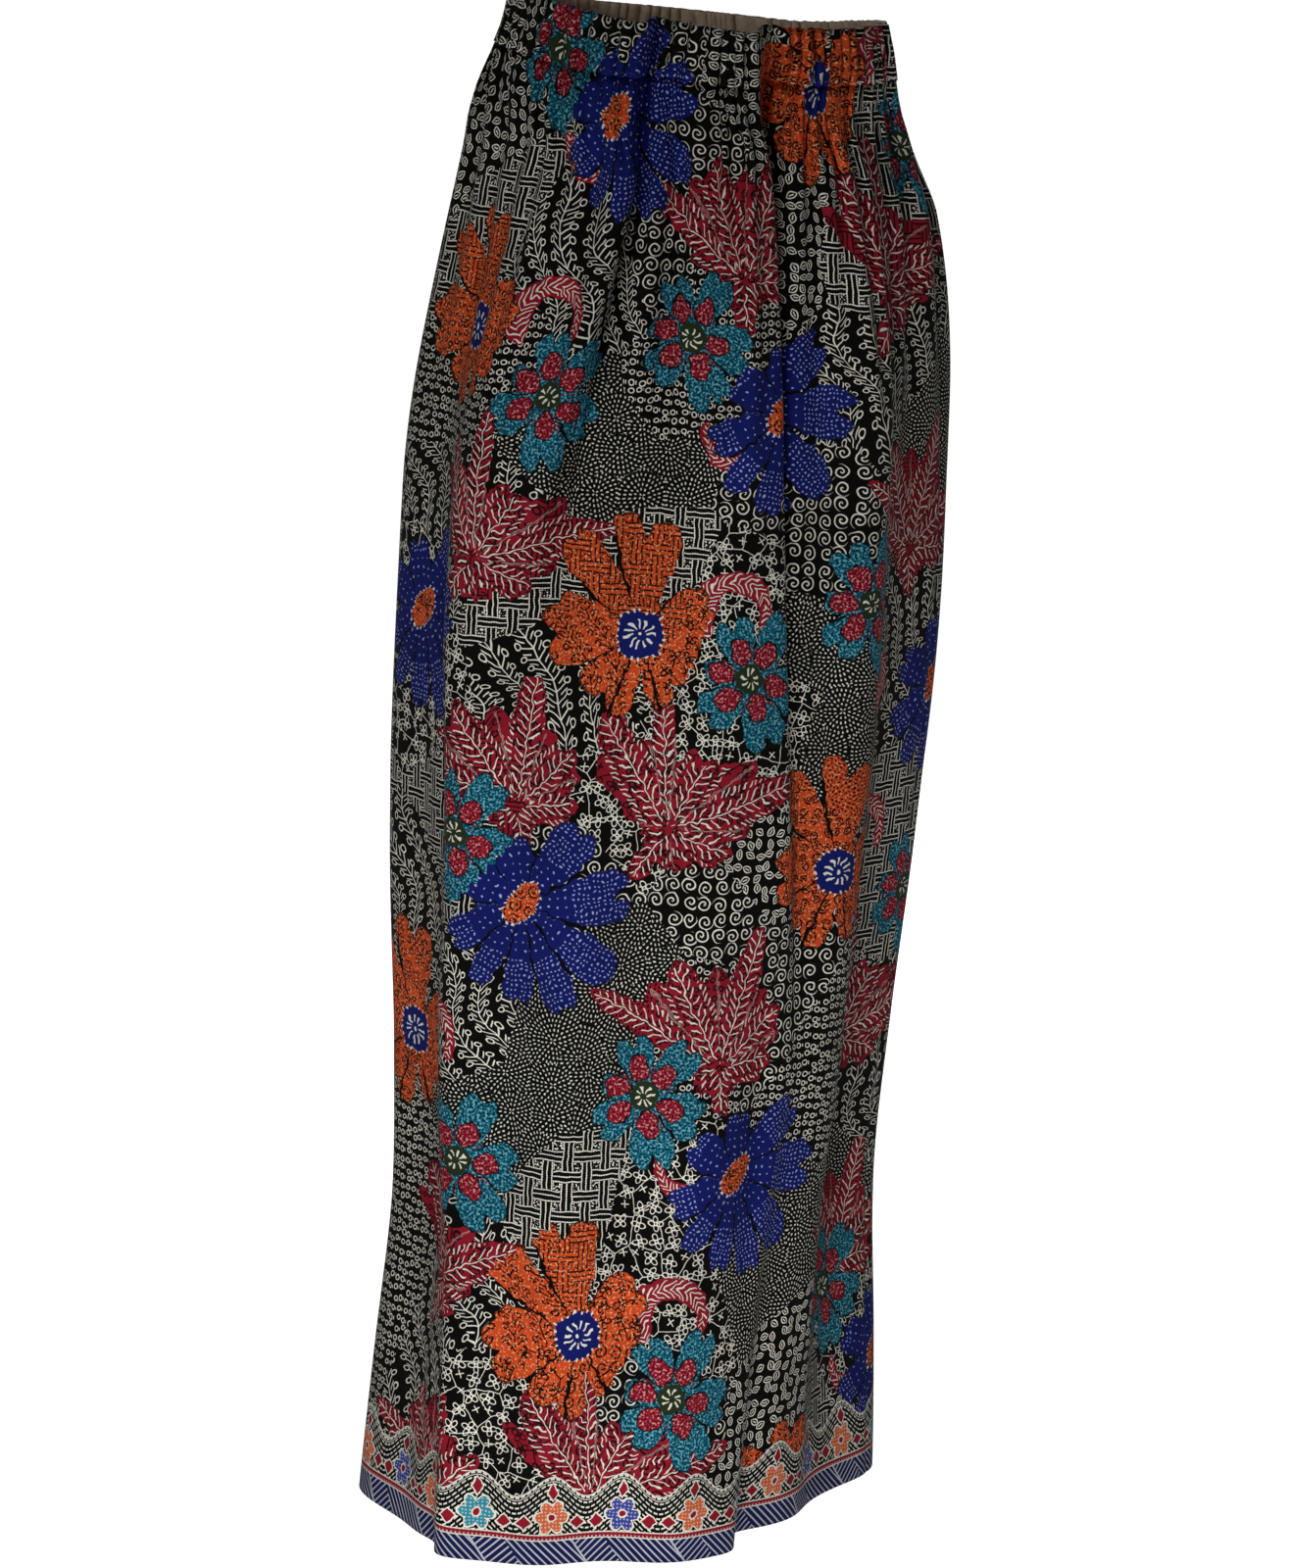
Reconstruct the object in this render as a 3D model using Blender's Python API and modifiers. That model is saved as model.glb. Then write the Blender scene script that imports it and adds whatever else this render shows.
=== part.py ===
"""Batik sarong with an elastic waist, worn open and hollow.

Metres, +Z up, +X to the viewer's right, the front faces -Y. The origin is the centre of the
waist casing, where the wearer holds the garment up. The cloth is one printed tube: every
height of it is a closed ring of the same length, laid round the body's section. What the
body doesn't use is taken up by gathers at the waist, soft flutes lower down and named folds.
"""

import bpy
import bmesh
import numpy as np

# Driving dimensions, in metres
CLOTH_ROUND = 1.09
LENGTH = 0.970
CASING = 0.034
CLOTH_WALL = 0.0012
CASING_WALL = 0.0026
SEAM_GAP = 0.0003
GATHERS = 40
FLUTES = 10
COLUMNS_PER_GATHER = 4

# Body section at each depth below the waist: half width, front and back depth, and how far
# the right side lies behind the left for each metre of width
SECTIONS = np.array([
    # below, half_width, front, back, swing_back
    (0.000, 0.1165, 0.090, 0.092, 0.00),
    (0.035, 0.1250, 0.097, 0.098, 0.00),
    (0.100, 0.1405, 0.110, 0.118, 0.02),
    (0.200, 0.1540, 0.122, 0.134, 0.05),
    (0.300, 0.1605, 0.127, 0.138, 0.08),
    (0.400, 0.1625, 0.130, 0.137, 0.11),
    (0.540, 0.1575, 0.134, 0.134, 0.15),
    (0.680, 0.1470, 0.138, 0.131, 0.20),
    (0.770, 0.1435, 0.143, 0.131, 0.23),
    (0.880, 0.1535, 0.152, 0.134, 0.29),
    (0.970, 0.1630, 0.158, 0.137, 0.33),
])
SECTION_POWER = 2.25

# Where the spare cloth goes, by its place round from the centre front
FULLNESS = np.array([
    # place, gathers, flutes
    (-0.545, 1.10, 1.00),
    (-0.420, 1.10, 1.15),
    (-0.320, 0.90, 0.75),
    (-0.230, 0.50, 0.40),
    (-0.150, 0.40, 0.22),
    (-0.070, 0.80, 0.12),
    (-0.030, 1.20, 0.10),
    (0.050, 1.20, 0.10),
    (0.130, 0.95, 0.20),
    (0.220, 0.90, 0.40),
    (0.320, 0.90, 0.75),
    (0.420, 1.10, 1.15),
    (0.545, 1.10, 1.00),
])

# The folds that show, left and right as the viewer sees them. A step drops from one layer to
# a lower one towards the right (-1) or rises to a higher one (+1); a ridge stands up.
FOLDS = {
    "right_tuck": (-1, [
        # below, place, width, degrees
        (0.020, 0.072, 0.0090, 65),
        (0.050, 0.075, 0.0090, 95),
        (0.100, 0.079, 0.0090, 115),
        (0.280, 0.087, 0.0090, 115),
        (0.360, 0.093, 0.0105, 88),
        (0.480, 0.104, 0.0145, 48),
        (0.660, 0.110, 0.0150, 36),
        (0.780, 0.104, 0.0140, 48),
        (0.880, 0.100, 0.0150, 62),
        (0.970, 0.098, 0.0170, 70),
    ]),
    "left_centre": (-1, [
        (0.020, -0.055, 0.0080, 50),
        (0.080, -0.052, 0.0080, 80),
        (0.140, -0.048, 0.0090, 60),
        (0.220, -0.046, 0.0120, 38),
        (0.330, -0.046, 0.0160, 22),
        (0.500, -0.050, 0.0200, 0),
    ]),
    "left_hem": (1, [
        (0.000, -0.130, 0.0200, 0),
        (0.300, -0.155, 0.0200, 12),
        (0.450, -0.155, 0.0180, 24),
        (0.700, -0.148, 0.0180, 24),
        (0.780, -0.135, 0.0140, 44),
        (0.880, -0.132, 0.0130, 60),
        (0.970, -0.130, 0.0130, 68),
    ]),
    "right_side": (0, [
        (0.000, 0.170, 0.0200, 0),
        (0.200, 0.170, 0.0220, 10),
        (0.450, 0.170, 0.0260, 16),
        (0.750, 0.165, 0.0220, 12),
        (0.970, 0.170, 0.0220, 8),
    ]),
}

# The waist edge: it rises at the left, falls to the right and dips at the front
WAIST_LIFT = 0.0055
WAIST_SLOPE = -0.045
WAIST_DIP = -0.0115
WAIST_FADE = 0.12

# Rows of points, as depths below the waist edge
CASING_ROWS = (0.0, 0.5 * CASING, CASING)
PANEL_ROWS = (CASING + SEAM_GAP, 0.047, 0.067, 0.092, 0.122, 0.160, 0.210, 0.270,
              0.345, 0.440, 0.545, 0.650, 0.750, 0.835, 0.905, LENGTH)

GATHERS_END = 0.30
FINE_STEPS = 2200
RING_STEPS = 1440


def table_value(table, column, below):
    """Smooth value of one column of a table at the given depths."""
    depth = table[:, 0]
    value = table[:, column]
    slope = np.gradient(value, depth)
    below = np.clip(below, depth[0], depth[-1])
    row = np.clip(np.searchsorted(depth, below) - 1, 0, len(depth) - 2)
    step = depth[row + 1] - depth[row]
    t = (below - depth[row]) / step
    return (value[row] * (2 * t**3 - 3 * t**2 + 1)
            + slope[row] * step * (t**3 - 2 * t**2 + t)
            + value[row + 1] * (3 * t**2 - 2 * t**3)
            + slope[row + 1] * step * (t**3 - t**2))


def wave_turn(spare):
    """How far a wave of cloth turns each way, in radians, to take up a share of its length."""
    turn = np.linspace(0.0, 2.2, 400)
    phase = np.linspace(0.0, 2 * np.pi, 200, endpoint=False)
    taken = 1.0 - np.cos(turn[:, None] * np.sin(phase)[None, :]).mean(axis=1)
    return np.interp(spare, taken, turn)


def gather_phase(place):
    """Gathers counted round the cloth, a little uneven in pitch."""
    round_share = 2 * np.pi * place / CLOTH_ROUND
    drift = 0.36 * np.sin(3 * round_share + 1.0) + 0.32 * np.sin(7 * round_share + 2.3)
    return GATHERS * place / CLOTH_ROUND + drift


def fold_turn(fold, place, below):
    """Turn of the cloth across one fold, and how far it quiets the gathers there."""
    side, rows = fold
    rows = np.array(rows)
    at, width, degrees = (np.interp(below, rows[:, 0], rows[:, k])[:, None] for k in (1, 2, 3))
    turn = np.radians(degrees)
    x = (place[None, :] - at) / width
    if side == 0:
        return -2.33 * turn * x * np.exp(-x * x), np.zeros_like(x)
    core = turn * np.exp(-x * x)
    fall = np.sin(core).sum(axis=1, keepdims=True) * (place[1] - place[0])
    reach = np.maximum(3.2 * width, 0.035)
    back = fall / (2 * np.sqrt(np.pi) * reach)
    before = np.exp(-((place[None, :] - at + 1.6 * reach) / reach) ** 2)
    after = np.exp(-((place[None, :] - at - 1.6 * reach) / reach) ** 2)
    quiet = np.exp(-x * x / 2) * np.clip(turn / 1.2, 0, 1)
    return side * (core - back * (before + after)), quiet


def body_rings(below):
    """Closed outlines of the body's section, from the centre back round by the left."""
    angle = np.linspace(0.0, 2 * np.pi, RING_STEPS + 1)[None, :]
    half, front, back, swing = (table_value(SECTIONS, k, below)[:, None] for k in (1, 2, 3, 4))
    across, along = np.sin(angle), np.cos(angle)
    x = -half * np.sign(across) * np.abs(across) ** (2 / SECTION_POWER)
    depth = np.where(along > 0, back, front)
    y = depth * np.sign(along) * np.abs(along) ** (2 / SECTION_POWER) + swing * x
    arc = np.cumsum(np.hypot(np.diff(x, axis=1), np.diff(y, axis=1)), axis=1)
    return x, y, np.concatenate([np.zeros((len(below), 1)), arc], axis=1)


def drape(below, columns):
    """Where the cloth lies: x and y for each depth (row) and place round the cloth (column)."""
    below = np.asarray(below, dtype=float)
    edge = np.linspace(0.0, CLOTH_ROUND, FINE_STEPS + 1)
    middle = (edge[1:] + edge[:-1]) / 2
    step = edge[1] - edge[0]
    place = middle - CLOTH_ROUND / 2
    round_share = 2 * np.pi * middle / CLOTH_ROUND
    uneven = 1 + 0.25 * np.sin(5 * round_share + 0.7) + 0.15 * np.sin(11 * round_share + 2.0)
    gather_weight = np.interp(place, FULLNESS[:, 0], FULLNESS[:, 1]) * uneven
    flute_weight = np.interp(place, FULLNESS[:, 0], FULLNESS[:, 2]) * uneven
    fade = np.clip((below - CASING) / (GATHERS_END - CASING), 0, 1)[:, None]
    flute_share = fade * fade * (3 - 2 * fade)
    gather_wave = np.sin(2 * np.pi * gather_phase(middle))
    flute_wave = np.sin(FLUTES * round_share + 1.6 * np.sin(2 * round_share + 0.5))

    folded = np.zeros((len(below), FINE_STEPS))
    quiet = np.zeros_like(folded)
    for fold in FOLDS.values():
        turn, still = fold_turn(fold, place, below)
        folded += turn
        quiet = np.maximum(quiet, still)

    ring_x, ring_y, arc = body_rings(below)
    girth = arc[:, -1:]
    bend = 2 * np.pi / girth

    def lay(fullness):
        gathers = wave_turn(np.clip(fullness * gather_weight * (1 - flute_share), 0, 0.93))
        flutes = wave_turn(np.clip(fullness * flute_weight * flute_share, 0, 0.90))
        waves = gathers * gather_wave + flutes * flute_wave
        turn = folded + 1.6 * np.tanh(waves / 1.6) * (1 - quiet)
        rise = np.sin(turn)
        rise -= rise.mean(axis=1, keepdims=True)
        stand = np.cumsum(rise, axis=1) * step
        stand -= stand.mean(axis=1, keepdims=True)
        return stand, np.cos(turn) / (1 + bend * stand)

    low = np.zeros_like(girth)
    high = np.full_like(girth, 1.2)
    for _ in range(30):
        fullness = (low + high) / 2
        stand, rate = lay(fullness)
        loose = rate.sum(axis=1, keepdims=True) * step > girth
        low = np.where(loose, fullness, low)
        high = np.where(loose, high, fullness)

    rate *= girth / (rate.sum(axis=1, keepdims=True) * step)
    travel = np.concatenate([np.zeros_like(girth), np.cumsum(rate, axis=1) * step], axis=1)
    stand = np.concatenate([stand[:, -1:], stand], axis=1)
    x = np.empty((len(below), len(columns)))
    y = np.empty_like(x)
    for row in range(len(below)):
        start = arc[row, RING_STEPS // 2] - np.interp(CLOTH_ROUND / 2, edge, travel[row])

        def on_ring(shift):
            at = np.mod(np.interp(columns, edge, travel[row]) + start + shift, arc[row, -1])
            return np.interp(at, arc[row], ring_x[row]), np.interp(at, arc[row], ring_y[row])

        here_x, here_y = on_ring(0.0)
        ahead_x, ahead_y = on_ring(0.004)
        behind_x, behind_y = on_ring(-0.004)
        along = np.hypot(ahead_x - behind_x, ahead_y - behind_y)
        out = np.interp(columns, edge, stand[row])
        x[row] = here_x + out * (ahead_y - behind_y) / along
        y[row] = here_y - out * (ahead_x - behind_x) / along
    return x, y


def height(x, y, below):
    """Height of a point of the cloth, with the waist edge's tilt fading downwards."""
    forward = np.clip(-y / 0.1, 0, 1)
    tilt = WAIST_LIFT + WAIST_SLOPE * x + WAIST_DIP * forward * forward
    return CASING / 2 - below + tilt * np.exp(-below / WAIST_FADE)


def quarter_places():
    """Places round the cloth at each quarter of a gather, so crests and troughs are points.

    The first is on a slope between a crest and a trough, where the cloth is flattest.
    """
    place = np.linspace(0.0, CLOTH_ROUND, FINE_STEPS + 1)
    phase = gather_phase(place)
    first = 2 * np.ceil(2 * phase[0] - 0.5) + 1
    wanted = (first + np.arange(GATHERS * COLUMNS_PER_GATHER)) / COLUMNS_PER_GATHER
    return np.interp(wanted, phase, place)


def cotton(name, colour):
    material = bpy.data.materials.new(name)
    material.use_nodes = True
    shader = material.node_tree.nodes["Principled BSDF"]
    shader.inputs["Base Color"].default_value = (*colour, 1.0)
    shader.inputs["Roughness"].default_value = 0.85
    shader.inputs["Metallic"].default_value = 0.0
    return material


def cloth_wall(name, below, columns, closed, wall, offset, colour, collection):
    """One piece of cloth: a flat grid laid on the drape, then thickened."""
    below = np.asarray(below, dtype=float)
    x, y = drape(below, columns)
    z = height(x, y, below[:, None])
    rows, count = x.shape
    mesh = bmesh.new()
    bmesh.ops.create_grid(mesh, x_segments=count - (0 if closed else 1), y_segments=rows - 1,
                          size=0.5)
    wide = count if closed else count - 1
    for vert in mesh.verts:
        column = round((vert.co.x + 0.5) * wide) % count
        row = round((0.5 - vert.co.y) * (rows - 1))
        vert.co = (x[row, column], y[row, column], z[row, column])
    if closed:
        bmesh.ops.remove_doubles(mesh, verts=mesh.verts, dist=0.00001)
    data = bpy.data.meshes.new(name)
    mesh.to_mesh(data)
    mesh.free()
    piece = bpy.data.objects.new(name, data)
    piece.data.materials.append(cotton(name + "_cotton", colour))
    piece.data.shade_smooth()
    thicken = piece.modifiers.new("wall", "SOLIDIFY")
    thicken.thickness = wall
    thicken.offset = offset
    collection.objects.link(piece)
    return piece


def build():
    for old in list(bpy.data.objects):
        bpy.data.objects.remove(old)
    collection = bpy.data.collections.new("batik_sarong")
    bpy.context.scene.collection.children.link(collection)

    columns = quarter_places()
    left = len(columns) // 4
    right = 3 * left
    half_gap = SEAM_GAP / 2

    front = columns[left:right + 1].copy()
    front[0] += half_gap
    front[-1] -= half_gap
    back = np.concatenate([columns[right:], columns[:left + 1] + CLOTH_ROUND])
    back[0] += half_gap
    back[-1] -= half_gap
    back = np.mod(back, CLOTH_ROUND)

    cloth_wall("front_panel", PANEL_ROWS, front, False, CLOTH_WALL, 0.0,
               (0.060, 0.055, 0.050), collection)
    cloth_wall("back_panel", PANEL_ROWS, back, False, CLOTH_WALL, 0.0,
               (0.060, 0.055, 0.050), collection)
    cloth_wall("waist_casing", CASING_ROWS, columns, True, CASING_WALL, -0.5,
               (0.070, 0.062, 0.055), collection)


build()
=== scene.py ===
"""Batik sarong with an elastic waist, worn open and hollow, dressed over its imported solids."""

import math

import bmesh
import bpy
import numpy as np
from mathutils import Matrix, Vector


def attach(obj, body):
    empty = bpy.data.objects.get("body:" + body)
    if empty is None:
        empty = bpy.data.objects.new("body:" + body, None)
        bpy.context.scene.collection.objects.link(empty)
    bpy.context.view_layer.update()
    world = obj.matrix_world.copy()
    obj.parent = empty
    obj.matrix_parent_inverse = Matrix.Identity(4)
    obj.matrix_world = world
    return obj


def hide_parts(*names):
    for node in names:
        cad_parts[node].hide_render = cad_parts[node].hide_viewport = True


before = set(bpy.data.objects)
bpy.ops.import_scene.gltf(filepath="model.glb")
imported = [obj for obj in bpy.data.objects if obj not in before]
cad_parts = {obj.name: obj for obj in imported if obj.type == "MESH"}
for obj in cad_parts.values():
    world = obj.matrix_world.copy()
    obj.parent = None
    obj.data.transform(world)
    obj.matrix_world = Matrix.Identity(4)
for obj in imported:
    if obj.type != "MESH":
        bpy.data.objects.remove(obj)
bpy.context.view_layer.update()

# The lie of the cloth
# The sarong is one tube of printed cotton, 1.09 m round. Every height of it is a closed ring of
# that length laid round the body's section, and gathers, soft flutes and named folds take up the
# rest. Place 0 is the centre back; depths are measured down from the waist edge, in metres.
CLOTH_ROUND = 1.09
LENGTH = 0.970
CASING = 0.034
GATHERS = 40
FINE_GATHERS = 92
FLUTES = 10
FINE_STEPS = 2600
RING_STEPS = 1440
FINE_END = 0.115
GATHERS_END = 0.30
SECTION_POWER = 2.25
SECTIONS = np.array([
    # below, half_width, front, back, swing_back
    (0.000, 0.1165, 0.090, 0.092, 0.00),
    (0.035, 0.1250, 0.097, 0.098, 0.00),
    (0.100, 0.1405, 0.110, 0.118, 0.02),
    (0.200, 0.1540, 0.122, 0.134, 0.05),
    (0.300, 0.1605, 0.127, 0.138, 0.08),
    (0.400, 0.1625, 0.130, 0.137, 0.11),
    (0.540, 0.1575, 0.134, 0.134, 0.15),
    (0.680, 0.1470, 0.138, 0.131, 0.20),
    (0.770, 0.1435, 0.143, 0.131, 0.23),
    (0.880, 0.1535, 0.152, 0.134, 0.29),
    (0.970, 0.1630, 0.158, 0.137, 0.33),
])
FULLNESS = np.array([
    # place from centre front, gathers, flutes
    (-0.545, 1.10, 1.00),
    (-0.420, 1.10, 1.15),
    (-0.320, 0.90, 0.75),
    (-0.230, 0.50, 0.40),
    (-0.150, 0.40, 0.22),
    (-0.070, 0.80, 0.12),
    (-0.030, 1.20, 0.10),
    (0.050, 1.20, 0.10),
    (0.130, 0.95, 0.20),
    (0.220, 0.90, 0.40),
    (0.320, 0.90, 0.75),
    (0.420, 1.10, 1.15),
    (0.545, 1.10, 1.00),
])
FOLDS = {
    # side: a step down to the right (-1), up to the right (+1) or a ridge (0)
    "right_tuck": (-1, [
        # below, place, width, degrees
        (0.020, 0.063, 0.0090, 80),
        (0.050, 0.066, 0.0090, 100),
        (0.100, 0.070, 0.0090, 118),
        (0.280, 0.080, 0.0090, 118),
        (0.360, 0.087, 0.0095, 110),
        (0.480, 0.100, 0.0125, 70),
        (0.660, 0.110, 0.0150, 36),
        (0.780, 0.104, 0.0140, 48),
        (0.880, 0.100, 0.0150, 62),
        (0.970, 0.098, 0.0170, 70),
    ]),
    "left_centre": (-1, [
        (0.020, -0.052, 0.0080, 80),
        (0.080, -0.054, 0.0080, 104),
        (0.140, -0.061, 0.0085, 104),
        (0.220, -0.069, 0.0090, 88),
        (0.330, -0.084, 0.0110, 52),
        (0.460, -0.098, 0.0160, 0),
    ]),
    "left_hem": (1, [
        (0.000, -0.130, 0.0200, 0),
        (0.300, -0.155, 0.0200, 12),
        (0.450, -0.155, 0.0180, 24),
        (0.700, -0.148, 0.0180, 24),
        (0.780, -0.135, 0.0140, 44),
        (0.880, -0.132, 0.0130, 60),
        (0.970, -0.130, 0.0130, 68),
    ]),
    "right_side": (0, [
        (0.000, 0.170, 0.0200, 0),
        (0.200, 0.170, 0.0220, 10),
        (0.450, 0.170, 0.0260, 16),
        (0.750, 0.165, 0.0220, 12),
        (0.970, 0.170, 0.0220, 8),
    ]),
}
WAIST_LIFT = 0.0055
WAIST_SLOPE = -0.045
WAIST_DIP = -0.0115
WAIST_SINK_BEHIND = -0.0095
WAIST_FADE = 0.12
SLOPE_REACH = 0.004


def table_value(table, column, below):
    """Smooth value of one column of a table at the given depths."""
    depth = table[:, 0]
    value = table[:, column]
    slope = np.gradient(value, depth)
    below = np.clip(below, depth[0], depth[-1])
    row = np.clip(np.searchsorted(depth, below) - 1, 0, len(depth) - 2)
    step = depth[row + 1] - depth[row]
    t = (below - depth[row]) / step
    return (value[row] * (2 * t**3 - 3 * t**2 + 1)
            + slope[row] * step * (t**3 - 2 * t**2 + t)
            + value[row + 1] * (3 * t**2 - 2 * t**3)
            + slope[row + 1] * step * (t**3 - t**2))


def wave_turn(spare):
    """How far a wave of cloth turns each way, in radians, to take up a share of its length."""
    turn = np.linspace(0.0, 2.2, 400)
    phase = np.linspace(0.0, 2 * np.pi, 200, endpoint=False)
    taken = 1.0 - np.cos(turn[:, None] * np.sin(phase)[None, :]).mean(axis=1)
    return np.interp(spare, taken, turn)


def gather_phase(place):
    """Gathers counted round the cloth, a little uneven in pitch."""
    round_share = 2 * np.pi * place / CLOTH_ROUND
    drift = 0.36 * np.sin(3 * round_share + 1.0) + 0.32 * np.sin(7 * round_share + 2.3)
    return GATHERS * place / CLOTH_ROUND + drift


def fold_turn(fold, place, below):
    """Turn of the cloth across one fold, and how far it quiets the gathers there."""
    side, rows = fold
    rows = np.array(rows)
    at, width, degrees = (np.interp(below, rows[:, 0], rows[:, k])[:, None] for k in (1, 2, 3))
    turn = np.radians(degrees)
    x = (place[None, :] - at) / width
    if side == 0:
        return -2.33 * turn * x * np.exp(-x * x), np.zeros_like(x)
    core = turn * np.exp(-x * x)
    fall = np.sin(core).sum(axis=1, keepdims=True) * (place[1] - place[0])
    reach = np.maximum(3.2 * width, 0.035)
    back = fall / (2 * np.sqrt(np.pi) * reach)
    before = np.exp(-((place[None, :] - at + 1.6 * reach) / reach) ** 2)
    after = np.exp(-((place[None, :] - at - 1.6 * reach) / reach) ** 2)
    quiet = np.exp(-x * x / 2) * np.clip(turn / 1.2, 0, 1)
    return side * (core - back * (before + after)), quiet


def body_rings(below):
    """Closed outlines of the body's section, from the centre back round by the left."""
    angle = np.linspace(0.0, 2 * np.pi, RING_STEPS + 1)[None, :]
    half, front, back, swing = (table_value(SECTIONS, k, below)[:, None] for k in (1, 2, 3, 4))
    across, along = np.sin(angle), np.cos(angle)
    x = -half * np.sign(across) * np.abs(across) ** (2 / SECTION_POWER)
    depth = np.where(along > 0, back, front)
    y = depth * np.sign(along) * np.abs(along) ** (2 / SECTION_POWER) + swing * x
    arc = np.cumsum(np.hypot(np.diff(x, axis=1), np.diff(y, axis=1)), axis=1)
    return x, y, np.concatenate([np.zeros((len(below), 1)), arc], axis=1)


# Soft creases laid on the drape, each from one point of the cloth to another
CREASES = np.array([
    # place, below, end place, end below, width, depth (metres; minus is a trough)
    (0.060, 0.060, -0.010, 0.215, 0.0075, -0.0024),
    (0.030, 0.050, 0.018, 0.180, 0.0060, 0.0022),
    (-0.012, 0.045, -0.020, 0.160, 0.0060, -0.0022),
    (-0.075, 0.050, -0.105, 0.170, 0.0080, 0.0022),
    (-0.095, 0.100, -0.125, 0.240, 0.0090, -0.0024),
    (-0.030, 0.215, -0.075, 0.420, 0.0130, -0.0034),
    (0.105, 0.050, 0.150, 0.200, 0.0070, -0.0024),
    (0.125, 0.090, 0.175, 0.300, 0.0100, 0.0026),
    (0.185, 0.060, 0.205, 0.240, 0.0080, -0.0024),
    (0.120, 0.330, 0.150, 0.520, 0.0120, -0.0030),
    (0.150, 0.470, 0.130, 0.690, 0.0120, 0.0026),
    (-0.190, 0.130, -0.215, 0.340, 0.0110, -0.0030),
    (-0.170, 0.360, -0.195, 0.560, 0.0110, 0.0026),
    (-0.185, 0.520, -0.170, 0.740, 0.0100, -0.0028),
    (-0.020, 0.470, -0.060, 0.640, 0.0180, 0.0020),
    (0.050, 0.560, 0.020, 0.760, 0.0160, -0.0020),
    (-0.060, 0.720, -0.085, 0.960, 0.0140, -0.0026),
    (0.020, 0.760, 0.035, 0.965, 0.0150, 0.0024),
    (0.140, 0.740, 0.165, 0.960, 0.0120, -0.0028),
    (0.215, 0.420, 0.225, 0.700, 0.0120, -0.0026),
    (0.330, 0.060, 0.345, 0.280, 0.0100, -0.0028),
    (0.400, 0.090, 0.385, 0.360, 0.0110, 0.0030),
    (0.470, 0.060, 0.500, 0.330, 0.0100, -0.0030),
    (0.545, 0.200, 0.530, 0.520, 0.0130, -0.0030),
    (0.620, 0.070, 0.640, 0.300, 0.0100, 0.0028),
    (0.690, 0.260, 0.670, 0.600, 0.0130, -0.0030),
    (0.750, 0.080, 0.765, 0.380, 0.0110, -0.0028),
    (0.420, 0.520, 0.440, 0.900, 0.0140, -0.0030),
    (0.585, 0.620, 0.600, 0.960, 0.0140, 0.0030),
    (0.720, 0.640, 0.700, 0.950, 0.0130, -0.0028),
    # the deep folds of the front, beside the two named ones
    (0.075, -0.060, 0.098, 0.500, 0.0062, -0.0190),
    (-0.042, -0.040, -0.078, 0.370, 0.0065, -0.0150),
    (-0.026, 0.020, -0.012, 0.300, 0.0075, -0.0095),
    (-0.040, 0.050, -0.040, 0.330, 0.0080, 0.0050),
    (0.042, 0.030, 0.050, 0.300, 0.0095, 0.0065),
    (0.124, 0.100, 0.134, 0.360, 0.0180, -0.0100),
    (0.090, 0.560, 0.086, 0.880, 0.0130, -0.0070),
    (-0.008, 0.540, 0.004, 0.800, 0.0090, -0.0030),
    (-0.190, 0.320, -0.150, 0.620, 0.0150, -0.0060),
    (-0.160, 0.640, -0.150, 0.900, 0.0120, -0.0045),
    # the two side seams, each a narrow pucker from the casing to the hem
    (0.2725, -0.100, 0.2725, 1.100, 0.0034, -0.0013),
    (-0.2725, -0.100, -0.2725, 1.100, 0.0034, -0.0013),
])


def crease_stand(place, below):
    """How far the listed creases lift or sink the cloth, by place from the centre front."""
    stand = np.zeros(np.broadcast(place, below).shape)
    for start, top, end, foot, width, depth in CREASES:
        run = np.array([end - start, foot - top])
        long = run @ run
        for lap in (-CLOTH_ROUND, 0.0, CLOTH_ROUND):
            across = place - start - lap
            down = below - top
            share = np.clip((across * run[0] + down * run[1]) / long, 0, 1)
            gap = np.hypot(across - share * run[0], down - share * run[1])
            stand += depth * np.sin(np.pi * share) ** 0.7 * np.exp(-(gap / width) ** 2)
    return stand


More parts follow.
